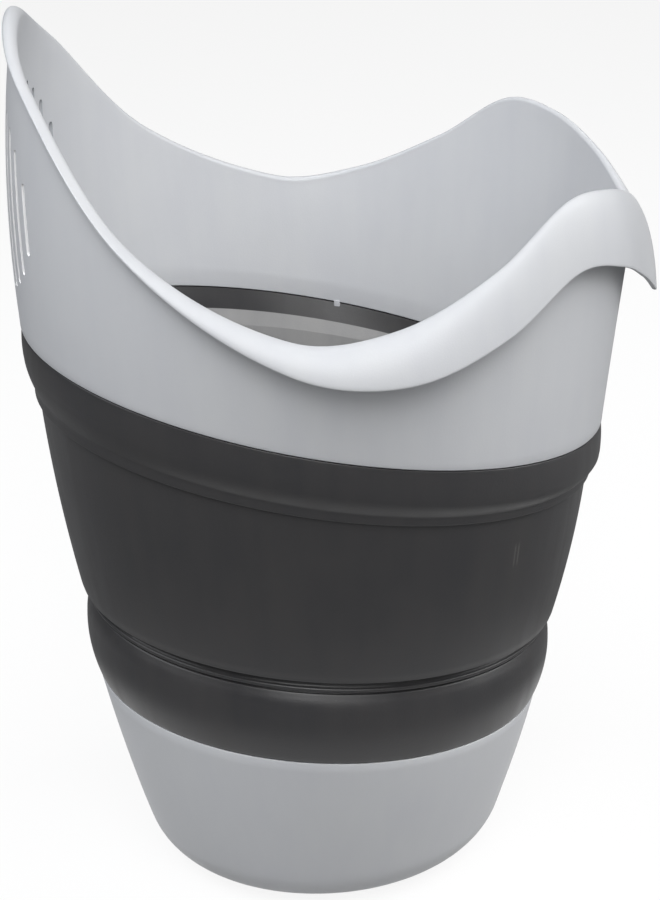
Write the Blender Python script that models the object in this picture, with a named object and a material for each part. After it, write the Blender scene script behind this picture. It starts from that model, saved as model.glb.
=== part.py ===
"""Collapsible straining pail: a wave-rimmed collar and a cup, joined by a folding silicone wall.

Everything is drawn upright round one axis, in metres, and is then leaned: each ring of the
wall is tipped about the Y axis by an amount that grows with its height, so that seams and
folds fan out and drop towards the handle side (+X) while the walls stay round. The pouring
side with its strainer slots is at -X. The cup stands level on the origin.
"""
import math
from dataclasses import dataclass

import bmesh
import bpy
from mathutils import Matrix, Vector

# Heights between the levels, measured on the axis
FLOOR_THICKNESS = 0.0026
FOOT_FILLET = 0.0215
BASE_HEIGHT = 0.0639
LOWER_BAND_HEIGHT = 0.0298
MIDDLE_BAND_HEIGHT = 0.0616
STEP_HEIGHT = 0.0068
UPPER_BAND_HEIGHT = 0.0107

# Outside radii and how much each band widens
BASE_SEAM_RADIUS = 0.0750
BASE_TAPER = 0.0124
BASE_BELLY = 0.0006
LOWER_BAND_FLARE = 0.0037
LOWER_BAND_BELLY = 0.0012
LOWER_BAND_SHOULDER_TAPER = 0.0004
MIDDLE_BAND_FLARE = 0.0114
MIDDLE_BAND_BELLY = 0.0012
STEP_WIDTH = 0.0040
STEP_BELLY = 0.0009
UPPER_BAND_FLARE = 0.0003

# Walls, seams and folds
RIGID_WALL = 0.0024
SOFT_WALL = 0.0022
HINGE_EDGE = 0.0009
GAP = 0.0003
TONGUE_HEIGHT = 0.0055
TONGUE_THICKNESS = 0.0011
LOWER_LAP = 0.0030
UPPER_LAP = 0.0045
EDGE_ROUND = 0.0005

# Lean of the body's axis towards the handle, the tip of each level square to that axis with
# the handle side down, all in degrees, and the collar's offset from the cup
BODY_LEAN = 0.95
BASE_SEAM_TIP = 4.2
LOWER_FOLD_TIP = 5.0
UPPER_FOLD_TIP = 9.9
SHOULDER_TIP = 11.4
COLLAR_SEAM_TIP = 11.1
BAND_DRAFT = 0.16
COLLAR_DRAFT = 0.131
COLLAR_OFFSET = 0.0025

# Collar rim and turned-over lip
CREST_ROLL = 0.0015
LIP_THICKNESS = 0.0016
LIP_EDGE = 0.0010
LIP_END_TURN = 12
LIP_WEB = 0.0019
LIP_WEB_GROWTH = 0.09

# Strainer slots in the pouring wall
SLOT_WIDTH = 0.0025
SLOT_PITCH = 0.0067
SLOT_FIELD_WIDTH = 0.093
SLOT_FIELD_HEIGHT = 0.064
SLOT_FIELD_BELOW_RIM = 0.055
SLOT_CUT_DEPTH = 0.020

SIDES = 72
FILLET_STEPS = 5
SLOT_END_STEPS = 3

# Levels that follow from the sizes above
BASE_SEAM = BASE_HEIGHT
LOWER_FOLD = BASE_SEAM + LOWER_BAND_HEIGHT
UPPER_FOLD = LOWER_FOLD + MIDDLE_BAND_HEIGHT
SHOULDER = UPPER_FOLD + STEP_HEIGHT
COLLAR_SEAM = SHOULDER + UPPER_BAND_HEIGHT

LOWER_FOLD_RADIUS = BASE_SEAM_RADIUS + LOWER_BAND_FLARE
UPPER_FOLD_RADIUS = LOWER_FOLD_RADIUS + MIDDLE_BAND_FLARE
SHOULDER_RADIUS = UPPER_FOLD_RADIUS + STEP_WIDTH
COLLAR_SEAM_RADIUS = SHOULDER_RADIUS + UPPER_BAND_FLARE


@dataclass(frozen=True)
class RimStation:
    """The collar at one azimuth from the handle, in metres.

    The crest rises over the seam and flares outside it, the belly is the wall's swelling half-way
    up, and the lip hangs over the wall by the overhang and under the crest by the drop.
    """

    azimuth: float
    rise: float
    flare: float
    belly: float
    overhang: float
    drop: float


RIM_STATIONS = (
    RimStation(azimuth=0, rise=0.0707, flare=0.0102, belly=0.0000, overhang=0.0080, drop=0.0275),
    RimStation(azimuth=18, rise=0.0801, flare=0.0089, belly=0.0000, overhang=0.0053, drop=0.0257),
    RimStation(azimuth=34, rise=0.0856, flare=0.0102, belly=0.0005, overhang=0.0047, drop=0.0223),
    RimStation(azimuth=47, rise=0.0837, flare=0.0107, belly=0.0007, overhang=0.0038, drop=0.0199),
    RimStation(azimuth=62, rise=0.0637, flare=0.0098, belly=0.0004, overhang=0.0049, drop=0.0181),
    RimStation(azimuth=80, rise=0.0444, flare=0.0091, belly=0.0000, overhang=0.0081, drop=0.0137),
    RimStation(azimuth=97, rise=0.0365, flare=0.0072, belly=0.0001, overhang=0.0068, drop=0.0079),
    RimStation(azimuth=125, rise=0.0511, flare=0.0050, belly=0.0008, overhang=0.0036, drop=0.0026),
    RimStation(azimuth=152, rise=0.0854, flare=0.0014, belly=0.0021, overhang=0.0029, drop=0.0025),
    RimStation(azimuth=180, rise=0.0999, flare=-0.0042, belly=0.0030, overhang=0.0029, drop=0.0039),
)


def stepwise(height, stops):
    """Reads a value at a height from (height, value) stops joined by straight lines."""
    if height <= stops[0][0]:
        return stops[0][1]
    for (low, before), (high, after) in zip(stops, stops[1:]):
        if height <= high:
            return before + (after - before) * (height - low) / (high - low)
    return stops[-1][1]


def lean(point):
    """Carries a point of the upright drawing to its place on the leaning pail."""
    tip = stepwise(point.z, (
        (FOOT_FILLET, -BODY_LEAN),
        (BASE_SEAM, BASE_SEAM_TIP),
        (LOWER_FOLD, LOWER_FOLD_TIP),
        (UPPER_FOLD, UPPER_FOLD_TIP),
        (SHOULDER, SHOULDER_TIP),
        (COLLAR_SEAM, COLLAR_SEAM_TIP),
    ))
    draft = stepwise(point.z, ((UPPER_FOLD, BAND_DRAFT), (SHOULDER, COLLAR_DRAFT)))
    offset = stepwise(point.z, ((BASE_SEAM, 0.0), (UPPER_FOLD, COLLAR_OFFSET)))
    radius = math.hypot(point.x, point.y)
    along = point.x / radius if radius else 0.0
    across = point.y / radius if radius else 0.0
    fall = math.tan(math.radians(tip))
    reach = radius / (1.0 + draft * along * fall)
    tipped = Vector((offset + reach * along, reach * across, point.z - reach * along * fall))
    return Matrix.Rotation(math.radians(BODY_LEAN), 3, "Y") @ tipped


def arc(centre, radii, start, end, steps):
    """Points of an elliptical arc in the drawing plane, with angles in degrees from outwards."""
    points = []
    for step in range(steps + 1):
        angle = math.radians(start + (end - start) * step / steps)
        points.append((centre[0] + radii[0] * math.cos(angle), centre[1] + radii[1] * math.sin(angle)))
    return points


def bowed(low, high, bow, steps):
    """Points from low to high, ends left out, swelling outwards by bow at mid-height."""
    points = []
    for step in range(1, steps):
        share = step / steps
        swell = bow * 4.0 * share * (1.0 - share)
        points.append((
            low[0] + (high[0] - low[0]) * share + swell,
            low[1] + (high[1] - low[1]) * share,
        ))
    return points


def eased(azimuth, name):
    """Reads one size of the rim at an azimuth in radians, on a smooth curve through the stations."""
    degrees = abs(math.degrees(math.atan2(math.sin(azimuth), math.cos(azimuth))))
    first, last = RIM_STATIONS[0], RIM_STATIONS[-1]
    known = [(station.azimuth, getattr(station, name)) for station in RIM_STATIONS]
    before_first = (-RIM_STATIONS[1].azimuth, getattr(RIM_STATIONS[1], name))
    after_last = (2 * last.azimuth - RIM_STATIONS[-2].azimuth, getattr(RIM_STATIONS[-2], name))
    known = [before_first] + known + [after_last]
    degrees = min(max(degrees, first.azimuth), last.azimuth)
    place = 1
    while known[place + 1][0] < degrees:
        place += 1
    (a0, v0), (a1, v1), (a2, v2), (a3, v3) = known[place - 1:place + 3]
    span = a2 - a1
    share = (degrees - a1) / span
    slope1 = span * (v2 - v0) / (a2 - a0)
    slope2 = span * (v3 - v1) / (a3 - a1)
    cubic = 2 * (v1 - v2) + slope1 + slope2
    square = 3 * (v2 - v1) - 2 * slope1 - slope2
    return v1 + share * (slope1 + share * (square + share * cubic))


def material(name, colour, roughness):
    """A plain plastic or rubber finish."""
    made = bpy.data.materials.new(name)
    made.use_nodes = True
    shader = made.node_tree.nodes["Principled BSDF"]
    shader.inputs["Base Color"].default_value = (*colour, 1.0)
    shader.inputs["Roughness"].default_value = roughness
    shader.inputs["Metallic"].default_value = 0.0
    made.diffuse_color = (*colour, 1.0)
    return made


def new_object(name, mesh, collection, finish=None):
    """Shades a mesh and puts it in a collection as an object."""
    mesh.shade_smooth()
    mesh.set_sharp_from_angle(angle=math.radians(40))
    made = bpy.data.objects.new(name, mesh)
    collection.objects.link(made)
    if finish:
        mesh.materials.append(finish)
    return made


def turned(name, section, closed):
    """Spins an upright section once round the axis and leans the result."""
    work = bmesh.new()
    points = [work.verts.new((radius, 0.0, height)) for radius, height in section]
    pairs = list(zip(points, points[1:]))
    if closed:
        pairs.append((points[-1], points[0]))
    edges = [work.edges.new(pair) for pair in pairs]
    bmesh.ops.spin(
        work,
        geom=points + edges,
        cent=(0.0, 0.0, 0.0),
        axis=(0.0, 0.0, 1.0),
        angle=math.tau,
        steps=SIDES,
        use_merge=True,
    )
    bmesh.ops.remove_doubles(work, verts=work.verts, dist=0.00002)
    return finished_mesh(name, work)


def finished_mesh(name, work):
    """Leans an upright closed body, turns its faces outwards and makes it a mesh."""
    for vertex in work.verts:
        vertex.co = lean(vertex.co)
    bmesh.ops.recalc_face_normals(work, faces=work.faces)
    mesh = bpy.data.meshes.new(name)
    work.to_mesh(mesh)
    work.free()
    return mesh


def base_cup_mesh():
    """Closed cup with a rounded foot, and a tongue on its rim that holds the lower band."""
    foot_radius = BASE_SEAM_RADIUS - BASE_TAPER
    flat_radius = foot_radius - FOOT_FILLET
    inner_fillet = FOOT_FILLET - FLOOR_THICKNESS
    inner_foot = foot_radius - RIGID_WALL
    outside = [(0.0, 0.0)]
    outside += arc((flat_radius, FOOT_FILLET), (FOOT_FILLET, FOOT_FILLET), -90, 0, FILLET_STEPS)
    outside += bowed((foot_radius, FOOT_FILLET), (BASE_SEAM_RADIUS, BASE_SEAM), BASE_BELLY, 3)
    outside += [
        (BASE_SEAM_RADIUS - EDGE_ROUND / 4, BASE_SEAM - EDGE_ROUND),
        (BASE_SEAM_RADIUS - EDGE_ROUND, BASE_SEAM),
    ]
    tongue_in = BASE_SEAM_RADIUS - RIGID_WALL
    tongue_out = tongue_in + TONGUE_THICKNESS
    tongue_top = BASE_SEAM + TONGUE_HEIGHT
    tongue = [(tongue_out, BASE_SEAM), (tongue_out, tongue_top), (tongue_in, tongue_top)]
    inside = [(tongue_in, BASE_SEAM)]
    inside += bowed((tongue_in, BASE_SEAM), (inner_foot, FOOT_FILLET), BASE_BELLY, 3)
    inside += arc(
        (inner_foot - inner_fillet, FOOT_FILLET), (inner_fillet, inner_fillet), 0, -90, FILLET_STEPS
    )
    return turned("base_cup", outside + tongue + inside + [(0.0, FLOOR_THICKNESS)], closed=False)


def lower_band_mesh():
    """Silicone band that cuffs the cup's tongue and ends in a shoulder under the middle band."""
    cuff_in = BASE_SEAM_RADIUS - RIGID_WALL + TONGUE_THICKNESS + GAP
    cuff_top = BASE_SEAM + TONGUE_HEIGHT + GAP
    cuff_low = BASE_SEAM + GAP
    shoulder_low = LOWER_FOLD - LOWER_BAND_HEIGHT / 4
    shoulder_radius = LOWER_FOLD_RADIUS - LOWER_BAND_SHOULDER_TAPER
    lip_top = LOWER_FOLD + LOWER_LAP
    seam_out = BASE_SEAM_RADIUS - EDGE_ROUND / 2
    inner_low = cuff_in - TONGUE_THICKNESS - GAP
    inner_high = LOWER_FOLD_RADIUS - SOFT_WALL
    section = [(cuff_in, cuff_low), (seam_out, cuff_low)]
    section += bowed((seam_out, cuff_low), (shoulder_radius, shoulder_low), LOWER_BAND_BELLY, 4)
    section += [
        (shoulder_radius, shoulder_low),
        (LOWER_FOLD_RADIUS, lip_top - EDGE_ROUND),
        (LOWER_FOLD_RADIUS - EDGE_ROUND, lip_top),
        (LOWER_FOLD_RADIUS - HINGE_EDGE, lip_top),
        (inner_high, LOWER_FOLD - LOWER_LAP),
    ]
    section += bowed((inner_high, shoulder_low), (inner_low, cuff_top), LOWER_BAND_BELLY, 3)
    section += [(inner_low, cuff_top), (cuff_in, cuff_top)]
    return turned("lower_band", section, closed=True)


def middle_band_mesh():
    """Tall silicone band, thinned to a hinge edge at its foot, its head inside the upper band."""
    skirt_in = LOWER_FOLD_RADIUS + GAP
    skirt_out = skirt_in + HINGE_EDGE
    head_in = UPPER_FOLD_RADIUS - SOFT_WALL
    head_top = UPPER_FOLD + UPPER_LAP
    thick_from = LOWER_FOLD + 2 * LOWER_LAP
    rise = (thick_from - LOWER_FOLD) / MIDDLE_BAND_HEIGHT
    thick_in = skirt_out + (UPPER_FOLD_RADIUS - skirt_out) * rise - SOFT_WALL
    section = [(skirt_in, LOWER_FOLD), (skirt_out, LOWER_FOLD)]
    section += bowed((skirt_out, LOWER_FOLD), (UPPER_FOLD_RADIUS, UPPER_FOLD), MIDDLE_BAND_BELLY, 6)
    section += [
        (UPPER_FOLD_RADIUS, UPPER_FOLD),
        (UPPER_FOLD_RADIUS, head_top - EDGE_ROUND),
        (UPPER_FOLD_RADIUS - EDGE_ROUND, head_top),
        (head_in + EDGE_ROUND, head_top),
        (head_in, head_top - EDGE_ROUND),
        (head_in, UPPER_FOLD),
    ]
    section += bowed((head_in, UPPER_FOLD), (thick_in, thick_from), MIDDLE_BAND_BELLY, 4)
    section += [(max(thick_in, skirt_in), thick_from)]
    return turned("middle_band", section, closed=True)


def upper_band_mesh():
    """Silicone band under the collar: a cuff, a rounded shoulder and a ramp down to the fold."""
    skirt_in = UPPER_FOLD_RADIUS + GAP
    skirt_out = skirt_in + HINGE_EDGE
    cuff_in = COLLAR_SEAM_RADIUS - RIGID_WALL + TONGUE_THICKNESS + GAP
    cuff_low = COLLAR_SEAM - TONGUE_HEIGHT - GAP
    cuff_top = COLLAR_SEAM - GAP
    seam_out = COLLAR_SEAM_RADIUS - EDGE_ROUND / 2
    inner_high = COLLAR_SEAM_RADIUS - RIGID_WALL
    section = [(skirt_in, UPPER_FOLD), (skirt_out, UPPER_FOLD)]
    section += bowed((skirt_out, UPPER_FOLD), (SHOULDER_RADIUS, SHOULDER), STEP_BELLY, 4)
    section += [
        (SHOULDER_RADIUS, SHOULDER),
        (seam_out, cuff_top - EDGE_ROUND),
        (seam_out - EDGE_ROUND / 2, cuff_top),
        (cuff_in, cuff_top),
        (cuff_in, cuff_low),
        (inner_high, cuff_low),
        (inner_high, SHOULDER),
        (skirt_in, UPPER_FOLD + UPPER_LAP + GAP),
    ]
    return turned("upper_band", section, closed=True)


def collar_wall(azimuth, share):
    """Outside radius and height of the collar wall, from its seam (0) to its crest (1)."""
    rise = eased(azimuth, "rise")
    swell = eased(azimuth, "belly") * 4.0 * share * (1.0 - share)
    return COLLAR_SEAM_RADIUS + eased(azimuth, "flare") * share + swell, COLLAR_SEAM + rise * share


def collar_section(azimuth):
    """Closed section of the collar at one azimuth, from its tongue up, over the lip and down."""
    rise = eased(azimuth, "rise")
    drop = eased(azimuth, "drop")
    crest = COLLAR_SEAM + rise
    lip_out = COLLAR_SEAM_RADIUS + eased(azimuth, "flare") + eased(azimuth, "overhang")
    lip_low = crest - drop
    tongue_in = COLLAR_SEAM_RADIUS - RIGID_WALL
    tongue_out = tongue_in + TONGUE_THICKNESS
    tongue_low = COLLAR_SEAM - TONGUE_HEIGHT

    roll_share = 1.0 - CREST_ROLL / rise
    section = [(tongue_in, tongue_low), (tongue_in, COLLAR_SEAM)]
    for share in (0.25, 0.5, 0.75, 1.0):
        radius, height = collar_wall(azimuth, share * roll_share)
        section.append((radius - RIGID_WALL, height))
    crest_radius = section[-1][0] + CREST_ROLL
    section += arc((crest_radius, crest - CREST_ROLL), (CREST_ROLL, CREST_ROLL), 180, 90, 3)[1:]

    lip_reach = (lip_out - crest_radius) / math.cos(math.radians(LIP_END_TURN))
    lip_fall = (drop - LIP_EDGE) / (1.0 - math.sin(math.radians(LIP_END_TURN)))
    section += arc((crest_radius, crest - lip_fall), (lip_reach, lip_fall), 90, LIP_END_TURN, 6)[1:]

    web = LIP_WEB + LIP_WEB_GROWTH * drop
    web_share = 1.0 - web / rise
    web_radius = collar_wall(azimuth, web_share)[0]
    under = (lip_out - LIP_THICKNESS - web_radius, drop - web)
    section.append((lip_out - LIP_THICKNESS / 4, lip_low))
    section += arc((web_radius, lip_low), under, 0, 90, 4)
    for share in (0.75, 0.5, 0.25):
        section.append(collar_wall(azimuth, share * web_share))
    section += [
        (COLLAR_SEAM_RADIUS, COLLAR_SEAM + EDGE_ROUND),
        (COLLAR_SEAM_RADIUS - EDGE_ROUND, COLLAR_SEAM),
        (tongue_out, COLLAR_SEAM),
        (tongue_out, tongue_low),
    ]
    return section


def collar_mesh():
    """Lofts the collar's changing section once round, closed on itself."""
    work = bmesh.new()
    loops = []
    for side in range(SIDES):
        azimuth = math.tau * side / SIDES
        loops.append([
            work.verts.new((radius * math.cos(azimuth), radius * math.sin(azimuth), height))
            for radius, height in collar_section(azimuth)
        ])
    count = len(loops[0])
    for side, loop in enumerate(loops):
        following = loops[(side + 1) % SIDES]
        for place in range(count):
            beside = (place + 1) % count
            work.faces.new((loop[place], following[place], following[beside], loop[beside]))
    return finished_mesh("collar", work)


def slot_cutter_mesh():
    """Round-ended slots side by side, filling an oval field in the pouring wall."""
    work = bmesh.new()
    field_share = 1.0 - SLOT_FIELD_BELOW_RIM / eased(math.pi, "rise")
    wall_radius, level = collar_wall(math.pi, field_share)
    number = int((SLOT_FIELD_WIDTH - SLOT_WIDTH) / SLOT_PITCH) + 1
    for place in range(number):
        aside = (place - (number - 1) / 2) * SLOT_PITCH
        share = 2 * aside / SLOT_FIELD_WIDTH
        length = max(SLOT_FIELD_HEIGHT * math.sqrt(1.0 - share * share), 2 * SLOT_WIDTH)
        turn = Matrix.Rotation(math.pi + aside / wall_radius, 4, "Z")
        centre = lean(turn @ Vector((wall_radius, 0.0, level)))
        size = Matrix.Diagonal((SLOT_CUT_DEPTH, SLOT_WIDTH, length, 1.0))
        cube = bmesh.ops.create_cube(work, size=1.0, matrix=Matrix.Translation(centre) @ turn @ size)
        radial = [
            edge for edge in {edge for vertex in cube["verts"] for edge in vertex.link_edges}
            if edge.calc_length() > SLOT_CUT_DEPTH * 0.999
            and abs(edge.verts[0].co.z - edge.verts[1].co.z) < GAP
        ]
        bmesh.ops.bevel(
            work,
            geom=sorted(radial, key=lambda edge: edge.index),
            offset=SLOT_WIDTH * 0.49,
            segments=SLOT_END_STEPS,
            profile=0.5,
            affect="EDGES",
        )
    bmesh.ops.recalc_face_normals(work, faces=work.faces)
    mesh = bpy.data.meshes.new("slot_cutter")
    work.to_mesh(mesh)
    work.free()
    return mesh


def place_on(piece, joint):
    """Hangs a piece on an empty at its joint's axis, with its mesh where it was drawn."""
    piece.data.transform(Matrix.Translation(-joint.matrix_world.translation))
    piece.parent = joint


def new_joint(name, place, collection, parent=None):
    """An empty on a slide's axis, at the fold that opens it."""
    joint = bpy.data.objects.new(name, None)
    joint.empty_display_size = 0.02
    collection.objects.link(joint)
    joint.parent = parent
    joint.location = place - parent.matrix_world.translation if parent else place
    bpy.context.view_layer.update()
    return joint


def main():
    """Clears the scene and builds the pail."""
    for leftover in list(bpy.data.objects):
        bpy.data.objects.remove(leftover)

    pail = bpy.data.collections.new("collapsible_colander")
    cutters = bpy.data.collections.new("cutters")
    for collection in (pail, cutters):
        bpy.context.scene.collection.children.link(collection)

    pale = material("pale_grey_polypropylene", (0.48, 0.49, 0.51), 0.40)
    dark = material("charcoal_silicone", (0.030, 0.030, 0.032), 0.5)

    new_object("base_cup", base_cup_mesh(), pail, pale)
    new_object("lower_band", lower_band_mesh(), pail, dark)
    middle_band = new_object("middle_band", middle_band_mesh(), pail, dark)
    upper_band = new_object("upper_band", upper_band_mesh(), pail, dark)
    collar = new_object("collar", collar_mesh(), pail, pale)

    cutter = new_object("slot_cutter", slot_cutter_mesh(), cutters)
    cutter.hide_render = True
    cutter.display_type = "WIRE"

    lower_fold = new_joint("lower_fold", lean(Vector((0.0, 0.0, LOWER_FOLD))), pail)
    upper_fold = new_joint("upper_fold", lean(Vector((0.0, 0.0, UPPER_FOLD))), pail, lower_fold)
    place_on(middle_band, lower_fold)
    place_on(upper_band, upper_fold)
    place_on(collar, upper_fold)

    slots = collar.modifiers.new("strainer_slots", "BOOLEAN")
    slots.object = cutter
    slots.operation = "DIFFERENCE"
    slots.solver = "EXACT"


main()
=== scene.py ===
"""Looks of the collapsible straining pail: fine shells, finishes, studio and camera.

Every shell is drawn upright round one axis, as a stack of rings, and is then leaned the way the
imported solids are, so that each fold lies where its body moves. Lengths are metres, and angles
are degrees unless a name says radians.
"""
import logging
import math
from dataclasses import dataclass
from enum import Enum

import bpy
from mathutils import Matrix
from mathutils import Quaternion
from mathutils import Vector


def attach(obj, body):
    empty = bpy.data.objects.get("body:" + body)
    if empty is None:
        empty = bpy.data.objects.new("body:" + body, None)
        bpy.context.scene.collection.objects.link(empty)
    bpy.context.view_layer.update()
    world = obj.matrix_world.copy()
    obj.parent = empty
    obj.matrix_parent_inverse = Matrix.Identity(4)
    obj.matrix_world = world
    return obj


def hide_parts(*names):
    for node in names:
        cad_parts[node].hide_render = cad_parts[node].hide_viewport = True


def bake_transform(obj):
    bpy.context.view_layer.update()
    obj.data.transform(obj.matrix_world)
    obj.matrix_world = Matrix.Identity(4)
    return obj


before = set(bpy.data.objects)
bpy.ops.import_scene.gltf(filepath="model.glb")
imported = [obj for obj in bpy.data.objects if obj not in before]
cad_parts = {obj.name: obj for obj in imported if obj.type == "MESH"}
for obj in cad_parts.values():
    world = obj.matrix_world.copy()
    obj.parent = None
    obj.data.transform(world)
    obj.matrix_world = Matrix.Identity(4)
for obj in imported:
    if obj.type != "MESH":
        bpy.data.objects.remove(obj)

log = logging.getLogger("pail")

Point = tuple[float, float]
Place = tuple[float, float, float]
Colour = tuple[float, float, float]

SMOOTH_ANGLE = math.radians(38)


class Body(Enum):
    """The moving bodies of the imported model."""

    CUP = "cup_body"
    WALL = "wall_body"
    COLLAR = "collar_body"


class Slot(Enum):
    """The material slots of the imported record."""

    PALE = "pale_grey_polypropylene"
    DARK = "charcoal_silicone"


def stepwise(height: float, stops: tuple[Point, ...]) -> float:
    """Reads a value at a height from stops joined by straight lines.

    Args:
        height: Where to read.
        stops: (height, value) pairs, lowest first.

    Returns:
        The value, held level below the first stop and above the last.
    """
    if height <= stops[0][0]:
        return stops[0][1]
    for (low, before), (high, after) in zip(stops, stops[1:]):
        if height <= high:
            return before + (after - before) * (height - low) / (high - low)
    return stops[-1][1]


def arc(centre: Point, radii: Point | float, start: float, end: float, steps: int) -> list[Point]:
    """Points of an arc in the drawing plane.

    Args:
        centre: Radius and height of the arc's centre.
        radii: One radius, or the half-widths of an ellipse along the radius and the height.
        start: First angle, counted from straight outwards.
        end: Last angle.
        steps: Number of segments.

    Returns:
        The arc's points, both ends included.
    """
    wide, tall = radii if isinstance(radii, tuple) else (radii, radii)
    points = []
    for step in range(steps + 1):
        angle = math.radians(start + (end - start) * step / steps)
        points.append((centre[0] + wide * math.cos(angle), centre[1] + tall * math.sin(angle)))
    return points


def swell(bow: float, share: float) -> float:
    """How far a length that bows by so much in its middle stands out at a share of it."""
    return bow * 4.0 * share * (1.0 - share)


def bowed(low: Point, high: Point, bow: float, steps: int) -> list[Point]:
    """Points between two ends, swelling outwards half-way.

    Args:
        low: First end, which is left out.
        high: Last end, which is left out.
        bow: Swelling at the middle.
        steps: Number of segments.

    Returns:
        The points strictly between the ends.
    """
    points = []
    for step in range(1, steps):
        share = step / steps
        points.append((
            low[0] + (high[0] - low[0]) * share + swell(bow, share),
            low[1] + (high[1] - low[1]) * share,
        ))
    return points


@dataclass(frozen=True)
class PailSizes:
    """Sizes of the upright drawing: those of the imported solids, but for a straighter step."""

    floor_thickness: float = 0.0026
    foot_fillet: float = 0.0215
    base_height: float = 0.0639
    lower_band_height: float = 0.0298
    middle_band_height: float = 0.0616
    step_height: float = 0.0068
    upper_band_height: float = 0.0107

    base_seam_radius: float = 0.0750
    base_taper: float = 0.0124
    base_belly: float = 0.0006
    lower_band_flare: float = 0.0037
    lower_band_belly: float = 0.0012
    middle_band_flare: float = 0.0114
    middle_band_belly: float = 0.0012
    step_width: float = 0.0040
    step_belly: float = 0.0004
    upper_band_flare: float = 0.0003

    rigid_wall: float = 0.0024
    soft_wall: float = 0.0022
    gap: float = 0.0003
    tongue_height: float = 0.0055
    tongue_thickness: float = 0.0011
    edge_round: float = 0.0005

    body_lean: float = 0.95
    base_seam_tip: float = 4.2
    lower_fold_tip: float = 5.0
    upper_fold_tip: float = 9.9
    shoulder_tip: float = 11.4
    collar_seam_tip: float = 11.1
    band_draft: float = 0.16
    collar_draft: float = 0.131
    collar_offset: float = 0.0025

    @property
    def base_seam(self) -> float:
        """Height of the seam between cup and lower band."""
        return self.base_height

    @property
    def lower_fold(self) -> float:
        """Height of the fold under the middle band."""
        return self.base_seam + self.lower_band_height

    @property
    def upper_fold(self) -> float:
        """Height of the fold over the middle band."""
        return self.lower_fold + self.middle_band_height

    @property
    def shoulder(self) -> float:
        """Height of the upper band's shoulder."""
        return self.upper_fold + self.step_height

    @property
    def collar_seam(self) -> float:
        """Height of the seam between upper band and collar."""
        return self.shoulder + self.upper_band_height

    @property
    def lower_fold_radius(self) -> float:
        """Outside radius of the lower band at the lower fold."""
        return self.base_seam_radius + self.lower_band_flare

    @property
    def upper_fold_radius(self) -> float:
        """Outside radius of the middle band at the upper fold."""
        return self.lower_fold_radius + self.middle_band_flare

    @property
    def shoulder_radius(self) -> float:
        """Outside radius of the upper band's shoulder."""
        return self.upper_fold_radius + self.step_width

    @property
    def collar_seam_radius(self) -> float:
        """Outside radius at the collar's seam."""
        return self.shoulder_radius + self.upper_band_flare

    def lean(self, point: Vector) -> Vector:
        """Carries a point of the upright drawing to its place on the leaning pail.

        Args:
            point: A point of the upright drawing.

        Returns:
            The same point in the row frame.
        """
        tip = stepwise(point.z, (
            (self.foot_fillet, -self.body_lean),
            (self.base_seam, self.base_seam_tip),
            (self.lower_fold, self.lower_fold_tip),
            (self.upper_fold, self.upper_fold_tip),
            (self.shoulder, self.shoulder_tip),
            (self.collar_seam, self.collar_seam_tip),
        ))
        draft = stepwise(point.z, ((self.upper_fold, self.band_draft), (self.shoulder, self.collar_draft)))
        offset = stepwise(point.z, ((self.base_seam, 0.0), (self.upper_fold, self.collar_offset)))
        radius = math.hypot(point.x, point.y)
        along = point.x / radius if radius else 0.0
        across = point.y / radius if radius else 0.0
        fall = math.tan(math.radians(tip))
        reach = radius / (1.0 + draft * along * fall)
        tipped = Vector((offset + reach * along, reach * across, point.z - reach * along * fall))
        return Matrix.Rotation(math.radians(self.body_lean), 3, "Y") @ tipped

    def ring_centre(self, height: float) -> Vector:
        """The leaned place of a point on the drawing's axis."""
        return self.lean(Vector((0.0, 0.0, height)))

    def ring_plane(self, height: float) -> tuple[Vector, Vector]:
        """Finds where a level ring of the upright drawing lies on the leaning pail.

        Args:
            height: The ring's height in the drawing.

        Returns:
            A point of the ring's plane and its upward normal.
        """
        reach = self.collar_seam_radius
        spots = ((-reach, 0.0), (reach, 0.0), (0.0, reach))
        left, right, back = (self.lean(Vector((x, y, height))) for x, y in spots)
        return left, (right - left).cross(back - left).normalized()

    def ring_normal(self, tip: float) -> Vector:
        """The upward normal of a ring that is tipped by so many degrees."""
        return Matrix.Rotation(math.radians(tip + self.body_lean), 3, "Y") @ Vector((0.0, 0.0, 1.0))


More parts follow.
